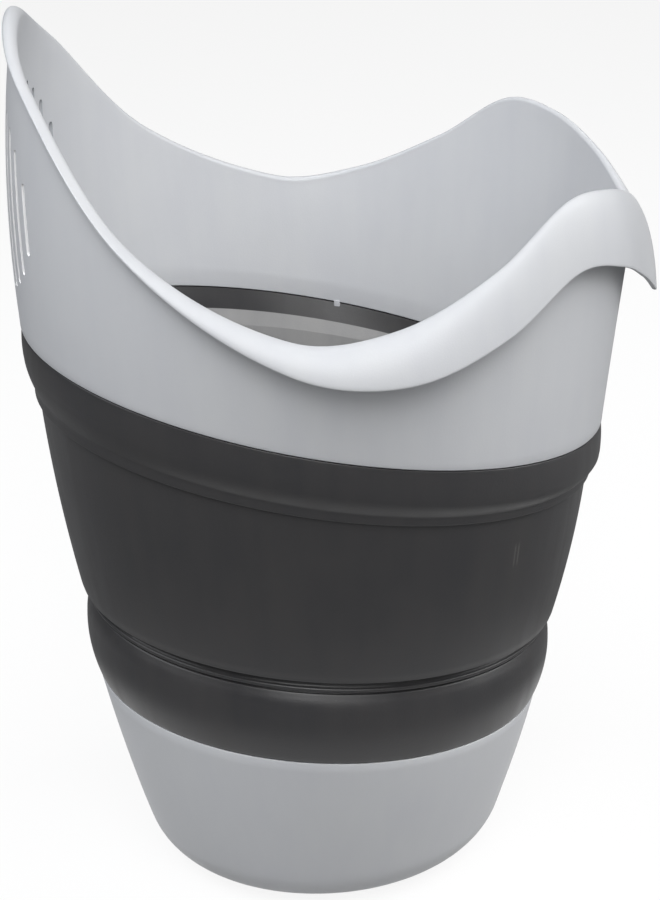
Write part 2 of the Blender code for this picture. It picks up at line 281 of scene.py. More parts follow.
class NodeSheet:
    """Adds and links the nodes of one shader tree."""

    MIX_SHARE = 0
    MIX_FIRST = 6
    MIX_SECOND = 7
    MIX_COLOUR = 2

    def __init__(self, tree: bpy.types.NodeTree) -> None:
        """Takes the tree that the nodes go into."""
        self.tree = tree

    def add(
        self, kind: str, inputs: dict[str | int, object] | None = None, **settings: object
    ) -> bpy.types.Node:
        """Adds a node.

        Args:
            kind: The node's type name.
            inputs: Values or output sockets for its inputs, by name or index.
            **settings: Attributes of the node.

        Returns:
            The new node.
        """
        node = self.tree.nodes.new(kind)
        for name, value in settings.items():
            setattr(node, name, value)
        for name, value in (inputs or {}).items():
            self.feed(node.inputs[name], value)
        return node

    def feed(self, socket: bpy.types.NodeSocket, value: object) -> None:
        """Links an output to a socket, or writes a plain value on it.

        Args:
            socket: The input to feed.
            value: An output socket or a value.
        """
        if isinstance(value, bpy.types.NodeSocket):
            self.tree.links.new(value, socket)
        else:
            socket.default_value = value

    def maths(self, operation: str, *values: object) -> bpy.types.NodeSocket:
        """Adds a Math node with numbers or sockets as its operands, and gives its output."""
        node = self.add("ShaderNodeMath", dict(enumerate(values)), operation=operation)
        return node.outputs[0]

    def span(
        self, value: object, low: float, high: float, to_low: float, to_high: float
    ) -> bpy.types.NodeSocket:
        """Maps a value from one span to another and clamps it.

        Args:
            value: The number or socket to map.
            low: Start of the span it comes from.
            high: End of that span.
            to_low: What the start becomes.
            to_high: What the end becomes.

        Returns:
            The mapped value's socket.
        """
        node = self.add(
            "ShaderNodeMapRange",
            {"Value": value, "From Min": low, "From Max": high, "To Min": to_low, "To Max": to_high},
        )
        return node.outputs["Result"]

    def noise(
        self, vector: object, scale: float, detail: float, roughness: float = 0.5
    ) -> bpy.types.NodeSocket:
        """Adds a noise texture.

        Args:
            vector: The coordinates it reads.
            scale: Features per metre.
            detail: Octaves.
            roughness: Weight of the finer octaves.

        Returns:
            The noise value's socket, about 0.5 on average.
        """
        node = self.add(
            "ShaderNodeTexNoise",
            {"Vector": vector, "Scale": scale, "Detail": detail, "Roughness": roughness},
        )
        return node.outputs[0]

    def stretched(self, vector: object, scale: Place) -> bpy.types.NodeSocket:
        """Scales coordinates unequally, so that a pattern runs in streaks."""
        node = self.add("ShaderNodeMapping", {"Vector": vector, "Scale": scale})
        return node.outputs["Vector"]

    def blend(self, share: object, first: object, second: object) -> bpy.types.NodeSocket:
        """Mixes two colours.

        Args:
            share: How much of the second, from 0 to 1.
            first: Colour or socket at share 0.
            second: Colour or socket at share 1.

        Returns:
            The mixed colour's socket.
        """
        node = self.add("ShaderNodeMix", data_type="RGBA")
        self.feed(node.inputs[self.MIX_SHARE], share)
        self.feed(node.inputs[self.MIX_FIRST], first)
        self.feed(node.inputs[self.MIX_SECOND], second)
        return node.outputs[self.MIX_COLOUR]


def fresh_sheet(owner: bpy.types.Material | bpy.types.World) -> NodeSheet:
    """Turns on the nodes of a material or a world and starts its tree afresh.

    Args:
        owner: The material or the world.

    Returns:
        A sheet for its nodes.
    """
    owner.use_nodes = True
    owner.node_tree.nodes.clear()
    return NodeSheet(owner.node_tree)


def shader_group(
    name: str, inputs: dict[str, str], outputs: dict[str, str]
) -> tuple[NodeSheet, bpy.types.NodeOutputs]:
    """Starts a shader node group with named sockets.

    Args:
        name: The group's name.
        inputs: Socket type of each input, by name.
        outputs: Socket type of each output, by name.

    Returns:
        A sheet for the group's nodes, and what the group is given.
    """
    tree = bpy.data.node_groups.new(name, "ShaderNodeTree")
    for socket, kind in inputs.items():
        tree.interface.new_socket(name=socket, in_out="INPUT", socket_type=kind)
    for socket, kind in outputs.items():
        tree.interface.new_socket(name=socket, in_out="OUTPUT", socket_type=kind)
    sheet = NodeSheet(tree)
    return sheet, sheet.add("NodeGroupInput").outputs


@dataclass
class SurfaceEffects:
    """Shader groups that several finishes share, each built once."""

    grain: bpy.types.NodeTree | None = None
    scuffs: bpy.types.NodeTree | None = None
    dust: bpy.types.NodeTree | None = None
    slow_scale: float = 34.0
    streak_scale: Place = (150.0, 150.0, 9.0)
    tone_band: Point = (0.7, 1.3)
    hairlines: tuple[Point, ...] = ((0.35, 260.0), (-0.8, 210.0), (1.45, 300.0))
    hairline_fineness: float = 8.0
    hairline_stretch: float = 12.0
    hairline_band: Point = (0.80, 0.86)
    worn_scale: float = 22.0
    worn_band: Point = (0.48, 0.66)
    ledge_band: Point = (-0.1, 0.9)
    ledge_least: float = 0.15
    patch_scale: float = 48.0
    patch_band: Point = (0.42, 0.70)
    patch_roughness: float = 0.65
    patch_depth: float = 0.55
    speck_scale: float = 900.0
    speck_band: Point = (0.74, 0.79)

    def build(self) -> None:
        """Builds the three groups."""
        self.grain = self.build_grain()
        self.scuffs = self.build_scuffs()
        self.dust = self.build_dust()

    def build_grain(self) -> bpy.types.NodeTree:
        """Fine texture of a mould's skin over the slow waviness of cooled plastic.

        Returns:
            A group from coordinates to a height and a slow tone.
        """
        sheet, given = shader_group(
            "moulded_grain",
            {"Vector": "NodeSocketVector", "Grain Scale": "NodeSocketFloat", "Waviness": "NodeSocketFloat"},
            {"Height": "NodeSocketFloat", "Tone": "NodeSocketFloat"},
        )
        fine = sheet.add(
            "ShaderNodeTexNoise",
            {"Vector": given["Vector"], "Scale": given["Grain Scale"], "Detail": 3.0},
        )
        slow = sheet.noise(given["Vector"], self.slow_scale, 2.0)
        streaks = sheet.noise(sheet.stretched(given["Vector"], self.streak_scale), 1.0, 2.0)
        waves = sheet.maths("MULTIPLY", sheet.maths("ADD", slow, streaks), given["Waviness"])
        height = sheet.maths("ADD", fine.outputs[0], waves)
        tone = sheet.span(sheet.maths("ADD", slow, streaks), *self.tone_band, 0.0, 1.0)
        sheet.add("NodeGroupOutput", {"Height": height, "Tone": tone})
        return sheet.tree

    def build_scuffs(self) -> bpy.types.NodeTree:
        """Sparse hairlines from washing and stacking, in three directions and finenesses.

        Returns:
            A group from coordinates and an amount to a mask.
        """
        sheet, given = shader_group(
            "hairline_scuffs",
            {"Vector": "NodeSocketVector", "Amount": "NodeSocketFloat"},
            {"Mask": "NodeSocketFloat"},
        )
        masks = []
        for turn, scale in self.hairlines:
            turned = sheet.add(
                "ShaderNodeMapping",
                {"Vector": given["Vector"], "Rotation": (turn, turn / 2, turn)},
            )
            across = scale * self.hairline_fineness
            along = scale / self.hairline_stretch
            drawn = sheet.stretched(turned.outputs["Vector"], (across, across, along))
            lines = sheet.noise(drawn, 1.0, 0.0)
            masks.append(sheet.span(lines, *self.hairline_band, 0.0, 1.0))
        worn = sheet.noise(given["Vector"], self.worn_scale, 2.0)
        where = sheet.span(worn, *self.worn_band, 0.0, 1.0)
        most = sheet.maths("MAXIMUM", sheet.maths("MAXIMUM", masks[0], masks[1]), masks[2])
        mask = sheet.maths("MULTIPLY", sheet.maths("MULTIPLY", most, where), given["Amount"])
        sheet.add("NodeGroupOutput", {"Mask": mask})
        return sheet.tree

    def build_dust(self) -> bpy.types.NodeTree:
        """Dust that settles on upward faces in soft patches with a few specks.

        Returns:
            A group from coordinates and an amount to a mask.
        """
        sheet, given = shader_group(
            "settled_dust",
            {"Vector": "NodeSocketVector", "Amount": "NodeSocketFloat"},
            {"Mask": "NodeSocketFloat"},
        )
        facing = sheet.add("ShaderNodeNewGeometry")
        upward = sheet.add("ShaderNodeSeparateXYZ", {"Vector": facing.outputs["Normal"]})
        ledge = sheet.span(upward.outputs["Z"], *self.ledge_band, self.ledge_least, 1.0)
        cloudy = sheet.noise(given["Vector"], self.patch_scale, 4.0, self.patch_roughness)
        patches = sheet.span(cloudy, *self.patch_band, 0.0, self.patch_depth)
        spotty = sheet.noise(given["Vector"], self.speck_scale, 1.0)
        specks = sheet.span(spotty, *self.speck_band, 0.0, 1.0)
        both = sheet.maths("MAXIMUM", patches, specks)
        mask = sheet.maths("MULTIPLY", sheet.maths("MULTIPLY", both, ledge), given["Amount"])
        sheet.add("NodeGroupOutput", {"Mask": mask})
        return sheet.tree


@dataclass(frozen=True)
class Finish:
    """A moulded surface: its colours, its gloss and how much of each shared effect it shows."""

    name: str
    colour: Colour
    tint: Colour
    dust_colour: Colour
    scuff_colour: Colour
    roughness_low: float
    roughness_high: float
    specular: float
    grain_scale: float
    grain_depth: float
    waviness: float
    dust: float
    scuffs: float
    bump_strength: float = 0.35
    dust_roughness: float = 0.25

    def fed(self, sheet: NodeSheet, tree: bpy.types.NodeTree, inputs: dict[str, object]) -> bpy.types.Node:
        """Adds a shared group first, so that its sockets exist, and then feeds them.

        Args:
            sheet: The material's nodes.
            tree: The shared group.
            inputs: What each of its inputs gets.

        Returns:
            The group's node.
        """
        node = sheet.add("ShaderNodeGroup", node_tree=tree)
        for name, value in inputs.items():
            sheet.feed(node.inputs[name], value)
        return node

    def marks(self, sheet: NodeSheet, place: bpy.types.NodeSocket) -> bpy.types.NodeSocket | None:
        """Marks that only this finish has; none on a plain one."""
        return None

    def build(self, effects: SurfaceEffects) -> bpy.types.Material:
        """Builds the material.

        Args:
            effects: The shared shader groups.

        Returns:
            The finished material.
        """
        material = bpy.data.materials.new(self.name)
        sheet = fresh_sheet(material)
        place = sheet.add("ShaderNodeTexCoord").outputs["Object"]
        grain = self.fed(sheet, effects.grain, {
            "Vector": place, "Grain Scale": self.grain_scale, "Waviness": self.waviness,
        })
        scuffs = self.fed(sheet, effects.scuffs, {"Vector": place, "Amount": self.scuffs})
        dust = self.fed(sheet, effects.dust, {"Vector": place, "Amount": self.dust})
        worn = scuffs.outputs["Mask"]
        own = self.marks(sheet, place)
        if own is not None:
            worn = sheet.maths("MAXIMUM", worn, own)
        colour = sheet.blend(grain.outputs["Tone"], (*self.colour, 1.0), (*self.tint, 1.0))
        colour = sheet.blend(dust.outputs["Mask"], colour, (*self.dust_colour, 1.0))
        colour = sheet.blend(worn, colour, (*self.scuff_colour, 1.0))
        gloss = sheet.span(grain.outputs["Tone"], 0.0, 1.0, self.roughness_low, self.roughness_high)
        dulled = sheet.maths("MULTIPLY", dust.outputs["Mask"], self.dust_roughness)
        gloss = sheet.maths("ADD", gloss, dulled)
        bump = sheet.add("ShaderNodeBump", {
            "Strength": self.bump_strength,
            "Distance": self.grain_depth,
            "Height": grain.outputs["Height"],
        })
        shader = sheet.add("ShaderNodeBsdfPrincipled", {
            "Base Color": colour,
            "Roughness": gloss,
            "Specular IOR Level": self.specular,
            "Normal": bump.outputs["Normal"],
        })
        sheet.add("ShaderNodeOutputMaterial", {"Surface": shader.outputs[0]})
        material.diffuse_color = (*self.colour, 1.0)
        return material


@dataclass(frozen=True)
class PalePolypropylene(Finish):
    """Satin pale grey plastic of the collar and the cup."""

    name: str = "pale_polypropylene"
    colour: Colour = (0.470, 0.480, 0.503)
    tint: Colour = (0.490, 0.500, 0.517)
    dust_colour: Colour = (0.56, 0.55, 0.52)
    scuff_colour: Colour = (0.60, 0.60, 0.61)
    roughness_low: float = 0.42
    roughness_high: float = 0.50
    specular: float = 0.32
    grain_scale: float = 2100.0
    grain_depth: float = 0.00008
    waviness: float = 0.9
    dust: float = 0.10
    scuffs: float = 0.10


@dataclass(frozen=True)
class SlotLightPaintedPolypropylene(PalePolypropylene):
    """The same plastic inside the near slots, painted lighter as the light that their thin edges let
    through.
    """

    name: str = "polypropylene_painted_slot_light"
    colour: Colour = (0.700, 0.705, 0.715)
    tint: Colour = (0.730, 0.735, 0.740)


@dataclass(frozen=True)
class CharcoalSilicone(Finish):
    """Soft matt charcoal silicone, with two short rub marks between the front and the handle."""

    name: str = "charcoal_silicone"
    colour: Colour = (0.024, 0.024, 0.026)
    tint: Colour = (0.029, 0.028, 0.029)
    dust_colour: Colour = (0.13, 0.125, 0.115)
    scuff_colour: Colour = (0.075, 0.073, 0.070)
    roughness_low: float = 0.34
    roughness_high: float = 0.44
    specular: float = 0.45
    grain_scale: float = 1500.0
    grain_depth: float = 0.00010
    waviness: float = 1.2
    dust: float = 0.16
    scuffs: float = 0.10
    rub_azimuths: tuple[float, ...] = (-47.1, -46.1)
    rub_height: float = 0.128
    rub_length: float = 0.009
    rub_width: float = 0.00035
    rub_radius: float = 0.086
    rub_fade: Point = (0.3, 0.5)
    rub_blur: float = 2.2
    rub_strength: float = 0.7

    def marks(self, sheet: NodeSheet, place: bpy.types.NodeSocket) -> bpy.types.NodeSocket | None:
        """Two short upright rub marks, side by side.

        Args:
            sheet: The material's nodes.
            place: Object coordinates.

        Returns:
            A mask that is strongest on the marks and 0 elsewhere.
        """
        parts = sheet.add("ShaderNodeSeparateXYZ", {"Vector": place})
        azimuth = sheet.maths("ARCTAN2", parts.outputs["Y"], parts.outputs["X"])
        off_height = sheet.maths("ABSOLUTE", sheet.maths("SUBTRACT", parts.outputs["Z"], self.rub_height))
        fade_from, fade_to = (self.rub_length * share for share in self.rub_fade)
        within = sheet.span(off_height, fade_from, fade_to, 1.0, 0.0)
        found = None
        for mark in self.rub_azimuths:
            off = sheet.maths("ABSOLUTE", sheet.maths("SUBTRACT", azimuth, math.radians(mark)))
            half = self.rub_width / 2 / self.rub_radius
            line = sheet.maths("MULTIPLY", sheet.span(off, half, half * self.rub_blur, 1.0, 0.0), within)
            found = line if found is None else sheet.maths("MAXIMUM", found, line)
        return sheet.maths("MULTIPLY", found, self.rub_strength)


@dataclass(frozen=True)
class SheenPaintedSilicone(Finish):
    """The folding wall's inner face, painted a lighter grey that stands in for the sheen of light on it."""

    name: str = "silicone_painted_sheen"
    colour: Colour = (0.255, 0.255, 0.257)
    tint: Colour = (0.300, 0.298, 0.296)
    dust_colour: Colour = (0.40, 0.395, 0.39)
    scuff_colour: Colour = (0.38, 0.38, 0.38)
    roughness_low: float = 0.42
    roughness_high: float = 0.56
    specular: float = 0.40
    grain_scale: float = 1300.0
    grain_depth: float = 0.00010
    waviness: float = 1.4
    dust: float = 0.22
    scuffs: float = 0.12


@dataclass
class RingShell:
    """A shell raised ring by ring, and then drawn out to its section and lean."""

    sizes: PailSizes
    finish: bpy.types.Material
    sides: int = 288
    ring_step: float = 0.002
    weld: float = 0.000002
    turn_digits: int = 5

    def section(self, azimuth: float) -> list[Point]:
        """The shell's section at an azimuth in radians, as (radius, height) points."""
        raise NotImplementedError

    def build(self, name: str, closed: bool) -> bpy.types.Object:
        """Builds the shell's mesh.

        Args:
            name: The piece's name.
            closed: Whether the section closes on itself, or ends on the axis twice.

        Returns:
            The new object, at the origin and smooth.
        """
        piece = self.raise_rings(name, len(self.section(0.0)), closed)
        self.draw_out(piece)
        self.mend(piece)
        piece.data.materials.append(self.finish)
        log.info("%s: %d vertices", name, len(piece.data.vertices))
        return piece

    def raise_rings(self, name: str, count: int, closed: bool) -> bpy.types.Object:
        """Adds a circle and extrudes it upwards into a plain tube of equal rings.

        Args:
            name: The piece's name.
            count: Number of rings.
            closed: Whether the last ring is bridged back to the first.

        Returns:
            The tube.
        """
        bpy.ops.object.select_all(action="DESELECT")
        bpy.ops.mesh.primitive_circle_add(vertices=self.sides, radius=self.sizes.base_seam_radius)
        piece = bpy.context.object
        piece.name = name
        piece.data.name = name
        bpy.ops.object.mode_set(mode="EDIT")
        bpy.ops.mesh.select_mode(type="VERT")
        bpy.ops.mesh.select_all(action="SELECT")
        for _ in range(count - 1):
            bpy.ops.mesh.extrude_region_move(TRANSFORM_OT_translate={"value": (0.0, 0.0, self.ring_step)})
        if closed:
            bpy.ops.mesh.select_all(action="SELECT")
            bpy.ops.mesh.region_to_loop()
            bpy.ops.mesh.bridge_edge_loops()
        bpy.ops.object.mode_set(mode="OBJECT")
        return piece

    def draw_out(self, piece: bpy.types.Object) -> None:
        """Moves each ring of the plain tube to its place in the section, and leans it.

        Args:
            piece: The tube.
        """
        sections = {}
        for vertex in piece.data.vertices:
            azimuth = math.atan2(vertex.co.y, vertex.co.x)
            turn = round(azimuth, self.turn_digits)
            if turn not in sections:
                sections[turn] = self.section(azimuth)
            radius, height = sections[turn][round(vertex.co.z / self.ring_step)]
            upright = Vector((radius * math.cos(azimuth), radius * math.sin(azimuth), height))
            vertex.co = self.sizes.lean(upright)

    def mend(self, piece: bpy.types.Object) -> None:
        """Merges what meets at the poles, turns the faces outwards and smooths them.

        Args:
            piece: The shell to mend.
        """
        bpy.ops.object.mode_set(mode="EDIT")
        bpy.ops.mesh.select_all(action="SELECT")
        bpy.ops.mesh.remove_doubles(threshold=self.weld)
        bpy.ops.mesh.normals_make_consistent(inside=False)
        bpy.ops.mesh.select_all(action="DESELECT")
        bpy.ops.object.mode_set(mode="OBJECT")
        bpy.ops.object.shade_smooth_by_angle(angle=SMOOTH_ANGLE)


def paint_inner_sheen(
    piece: bpy.types.Object,
    finish: bpy.types.Material,
    limit: tuple[Vector, Vector] | None = None,
) -> None:
    """Gives the faces that look at the axis another finish, whose lighter grey is painted sheen.

    Args:
        piece: The shell to dress.
        finish: The finish of its inner face, with the painted sheen.
        limit: Point and upward normal of the plane where that finish ends, or None for the whole face.
    """
    piece.data.materials.append(finish)
    for face in piece.data.polygons:
        outwards = Vector((face.center.x, face.center.y, 0.0))
        under = limit is None or (face.center - limit[0]).dot(limit[1]) < 0.0
        if under and face.normal.dot(outwards) < 0.0:
            face.material_index = 1


@dataclass
class BaseCup(RingShell):
    """The closed cup that the pail stands on, with the tongue that carries the silicone."""

    edge: float = 0.0002
    floor_shares: tuple[float, ...] = (0.3, 0.6, 0.85)
    wall_steps: int = 12
    edge_steps: int = 3
    fillet_steps: int = 16
    inner_fillet_steps: int = 14

    def section(self, azimuth: float) -> list[Point]:
        """The cup's section, from its floor's middle up the outside and back down the inside.

        Args:
            azimuth: Where, in radians; the section is the same all round.

        Returns:
            Its (radius, height) points.
        """
        s = self.sizes
        foot_radius = s.base_seam_radius - s.base_taper
        flat_radius = foot_radius - s.foot_fillet
        inner_fillet = s.foot_fillet - s.floor_thickness
        inner_foot = foot_radius - s.rigid_wall
        tongue_in = s.base_seam_radius - s.rigid_wall
        tongue_out = tongue_in + s.tongue_thickness
        tongue_top = s.base_seam + s.tongue_height
        nick = s.edge_round / 2
        slope = math.degrees(math.atan2(s.base_taper, s.base_seam - s.foot_fillet))
        points = [(0.0, 0.0)] + [(flat_radius * share, 0.0) for share in self.floor_shares]
        points += arc((flat_radius, s.foot_fillet), s.foot_fillet, -90, -slope, self.fillet_steps)
        points += bowed(points[-1], (s.base_seam_radius, s.base_seam), s.base_belly, self.wall_steps)
        edge_centre = (s.base_seam_radius - self.edge, s.base_seam - self.edge)
        points += arc(edge_centre, self.edge, 0, 90, self.edge_steps)
        points += [(tongue_out, s.base_seam), (tongue_out, tongue_top - nick)]
        points += [(tongue_out - nick, tongue_top), (tongue_in + nick, tongue_top)]
        points += [(tongue_in, tongue_top - nick), (tongue_in, s.base_seam)]
        inner_low = (inner_foot, s.foot_fillet)
        points += bowed((tongue_in, s.base_seam), inner_low, s.base_belly, self.wall_steps)
        inner_flat = inner_foot - inner_fillet
        points += arc((inner_flat, s.foot_fillet), inner_fillet, 0, -90, self.inner_fillet_steps)
        points += [(inner_flat * share, s.floor_thickness) for share in reversed(self.floor_shares)]
        return points + [(0.0, s.floor_thickness)]

    def make(self) -> bpy.types.Object:
        """Builds the cup and rides it on its body.

        Returns:
            The cup's shell.
        """
        piece = self.build("base_cup_shell", closed=False)
        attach(piece, Body.CUP.value)
        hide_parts("base_cup")
        return piece


@dataclass
class LowerSkin(RingShell):
    """Silicone that stands on the cup: a broad shoulder, a groove, a fine bead and a hidden tuck.

    The tuck is a flange that closes the ring of space between this band and the foot of the next.
    """

    bead: float = 0.0008
    neck_share: float = 0.3
    bead_drop: float = 0.0029
    bead_out: float = -0.0011
    groove_drop: float = 0.0041
    groove_depth: float = 0.0024
    neck_drop: float = 0.0015
    tuck_out: float = 0.00027
    tuck_lift: float = 0.0010
    tuck_height: float = 0.0014
    shoulder_drop: float = 0.0052
    shoulder_rise: float = 0.0056
    shoulder_depth: float = 0.0015
    shoulder_belly: float = 0.0004
    shoulder_round: float = 0.0008
    brow_span: Point = (25, 85)
    bead_span: Point = (-75, 78)
    band_steps: int = 16
    inner_steps: int = 12
    shoulder_steps: int = 12
    brow_steps: int = 6
    bead_steps: int = 9

    def section(self, azimuth: float) -> list[Point]:
        """The lower band's section, from its cuff up the outside and back down the inside.

        Args:
            azimuth: Where, in radians; the section is the same all round.

        Returns:
            Its (radius, height) points.
        """
        s = self.sizes
        cuff_in = s.base_seam_radius - s.rigid_wall + s.tongue_thickness + s.gap
        cuff_top = s.base_seam + s.tongue_height + s.gap
        cuff_low = s.base_seam + s.gap / 2
        seam_out = s.base_seam_radius
        inner_low = s.base_seam_radius - s.rigid_wall
        inner_high = s.lower_fold_radius - s.soft_wall - self.bead
        shoulder_radius = s.lower_fold_radius - s.edge_round / 2
        shoulder_low = s.lower_fold - self.shoulder_drop - self.shoulder_rise
        shoulder_top = (shoulder_radius - self.shoulder_depth, shoulder_low + self.shoulder_rise)
        brow_centre = (shoulder_top[0] - self.shoulder_round, shoulder_top[1])
        bead_centre = (s.lower_fold_radius + self.bead_out - self.bead, s.lower_fold - self.bead_drop)
        neck = bead_centre[0] - self.bead * self.neck_share
        tuck_out = s.lower_fold_radius + self.tuck_out
        tuck_low = s.lower_fold + self.tuck_lift
        tuck_high = tuck_low + self.tuck_height
        shoulder = (shoulder_radius, shoulder_low)
        points = [(cuff_in, cuff_low), (seam_out - s.edge_round / 2, cuff_low)]
        points += [(seam_out, cuff_low + s.edge_round / 2)]
        points += bowed((seam_out, cuff_low), shoulder, s.lower_band_belly, self.band_steps)
        points += bowed(shoulder, shoulder_top, self.shoulder_belly, self.shoulder_steps)
        points += arc(brow_centre, self.shoulder_round, *self.brow_span, self.brow_steps)
        points += [(shoulder_radius - self.groove_depth, s.lower_fold - self.groove_drop)]
        points += arc(bead_centre, self.bead, *self.bead_span, self.bead_steps)
        points += [(neck, s.lower_fold - self.neck_drop), (neck, tuck_low - s.edge_round)]
        points += [(tuck_out, tuck_low), (tuck_out, tuck_high)]
        points += [(inner_high, tuck_high), (inner_high, shoulder_low)]
        inner_end = (inner_low, cuff_top)
        points += bowed((inner_high, shoulder_low), inner_end, s.lower_band_belly, self.inner_steps)
        return points + [inner_end, (cuff_in, cuff_top)]

    def make(self) -> bpy.types.Object:
        """Builds the lower band and rides it on the cup's body.

        Returns:
            The lower band's skin.
        """
        piece = self.build("lower_band_skin", closed=True)
        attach(piece, Body.CUP.value)
        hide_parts("lower_band")
        return piece


class Half(Enum):
    """The two halves of the tall band, which turns inside out between its folds."""

    LOWER = "lower"
    UPPER = "upper"


@dataclass
class MiddleSkin(RingShell):
    """One half of the tall band, charcoal outside and painted a lighter grey inside as sheen."""

    # The inner face gets a lighter grey that is painted sheen.
    painted_sheen_finish: bpy.types.Material | None = None
    half: Half = Half.LOWER
    steps: int = 18
    foot_out: float = 0.0010
    foot_lift: float = 0.0007
    foot_round: float = 0.0006
    foot_turn: float = -80.0
    foot_steps: int = 5
    clear_height: float = 0.006

    def wall(self, share: float) -> Point:
        """Outside radius and height at a share of the band's height.

        Args:
            share: Height share from the lower fold (0) to the upper fold (1).

        Returns:
            Radius and height.
        """
        s = self.sizes
        foot = s.lower_fold_radius + self.foot_out
        return (
            foot + (s.upper_fold_radius - foot) * share + swell(s.middle_band_belly, share),
            s.lower_fold + s.middle_band_height * share,
        )

    def section(self, azimuth: float) -> list[Point]:
        """The half's section, up the outside and back down the inside.

        Args:
            azimuth: Where, in radians; the section is the same all round.

        Returns:
            Its (radius, height) points.
        """
        s = self.sizes
        lift = self.foot_lift / s.middle_band_height
        low, high = (lift, 0.5) if self.half is Half.LOWER else (0.5, 1.0)
        shares = [low + (high - low) * step / self.steps for step in range(self.steps + 1)]
        outside = [self.wall(share) for share in shares]
        inside = [(radius - s.soft_wall, height) for radius, height in reversed(outside)]
        if self.half is Half.LOWER:
            radius, height = outside[0]
            corner = (radius - self.foot_round, height + self.foot_round)
            outside[0:1] = arc(corner, self.foot_round, self.foot_turn, 0, self.foot_steps)
            clear_top = s.lower_fold + self.clear_height
            clear = s.lower_fold_radius + s.gap
            inside = [
                (max(radius, clear) if height < clear_top else radius, height)
                for radius, height in inside
            ]
        return outside + inside

    def make(self) -> bpy.types.Object:
        """Builds the half and bakes its placement into its mesh.

        Returns:
            The half's skin.
        """
        s = self.sizes
        piece = self.build(f"middle_band_skin_{self.half.value}", closed=True)
        # Paints sheen on the inner face as a lighter grey.
        paint_inner_sheen(piece, self.painted_sheen_finish)
        halfway = (s.lower_fold + s.upper_fold) / 2
        middle_tip = (s.lower_fold_tip + s.upper_fold_tip) / 2
        spans = {
            Half.LOWER: (Body.CUP, Body.WALL, s.lower_fold, halfway, (s.lower_fold_tip + middle_tip) / 2),
            Half.UPPER: (Body.WALL, Body.COLLAR, halfway, s.upper_fold, (s.upper_fold_tip + middle_tip) / 2),
        }
        first, last, low, high, tip = spans[self.half]
        start = s.ring_centre(low)
        end = start + s.ring_normal(tip) * (high - low)
        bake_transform(piece)
        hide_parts("middle_band")
        return piece


@dataclass
class UpperSkin(RingShell):
    """Silicone that hangs from the collar: a cuff, a shoulder, a ramp and a hem over the fold."""

    # The inner face, from a drop under the collar's seam down to the fold, is painted a lighter grey as
    # sheen.
    painted_sheen_finish: bpy.types.Material | None = None
    sheen_drop: float = 0.0117
    hem_out: float = 0.0011
    hem_drop: float = 0.0023
    hem_rise: float = 0.0007
    hem_round: float = 0.00045
    hem_toe: float = 0.0000675
    cuff_belly: float = 0.0003
    hem_steps: int = 5
    ramp_steps: int = 12
    cuff_steps: int = 8
    edge_steps: int = 3
    plain_steps: int = 3
    sheen_steps: int = 6

    def section(self, azimuth: float) -> list[Point]:
        """The upper band's section, from its hem up the outside and back down the inside.

        Args:
            azimuth: Where, in radians; the section is the same all round.

        Returns:
            Its (radius, height) points.
        """
        s = self.sizes
        cuff_in = s.collar_seam_radius - s.rigid_wall + s.tongue_thickness + s.gap
        cuff_low = s.collar_seam - s.tongue_height - s.gap
        cuff_top = s.collar_seam - s.gap
        nick = s.edge_round / 2
        seam_out = s.collar_seam_radius - nick
        inner_high = s.collar_seam_radius - s.rigid_wall
        hem = s.upper_fold_radius + self.hem_out
        hem_low = s.upper_fold - self.hem_drop
        ramp_low = s.upper_fold + self.hem_rise
        points = [(s.upper_fold_radius - s.edge_round, s.upper_fold)]
        points += [(s.upper_fold_radius + s.gap / 2, s.upper_fold - s.gap)]
        hem_centre = (hem - self.hem_round, hem_low + self.hem_round)
        shoulder = (s.shoulder_radius, s.shoulder)
        points += arc(hem_centre, self.hem_round, -90, 0, self.hem_steps)
        points += [(hem, ramp_low - self.hem_round * 2), (hem + self.hem_toe, ramp_low)]
        points += bowed((hem, ramp_low), shoulder, s.step_belly, self.ramp_steps)
        points += [(s.shoulder_radius, s.shoulder + s.edge_round)]
        points += bowed(shoulder, (seam_out, cuff_top), self.cuff_belly, self.cuff_steps)
        points += arc((seam_out - nick, cuff_top - nick), nick, 0, 90, self.edge_steps)
        points += [(cuff_in, cuff_top), (cuff_in, cuff_low), (inner_high, cuff_low)]
        fold_in = s.upper_fold_radius - s.soft_wall
        # A ring at that drop, where the painted sheen on the inner face begins.
        sheen_high = s.collar_seam - self.sheen_drop
        share = (cuff_low - sheen_high) / (cuff_low - s.upper_fold)
        sheen_in = inner_high + (fold_in - inner_high) * share
        points += bowed((inner_high, cuff_low), (sheen_in, sheen_high), 0.0, self.plain_steps)
        points += bowed((sheen_in, sheen_high), (fold_in, s.upper_fold), 0.0, self.sheen_steps)
        return points + [(fold_in, s.upper_fold)]

    def make(self) -> bpy.types.Object:
        """Builds the upper band and rides it on the collar's body.

        Returns:
            The upper band's skin.
        """
        s = self.sizes
        piece = self.build("upper_band_skin", closed=True)
        paint_inner_sheen(piece, self.painted_sheen_finish, s.ring_plane(s.collar_seam - self.sheen_drop))
        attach(piece, Body.COLLAR.value)
        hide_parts("upper_band")
        return piece


@dataclass(frozen=True)
class RimStation:
    """The collar at one azimuth from the handle: sizes above and outside its seam."""

    azimuth: float
    rise: float
    flare: float
    belly: float
    overhang: float
    drop: float
    roll: float


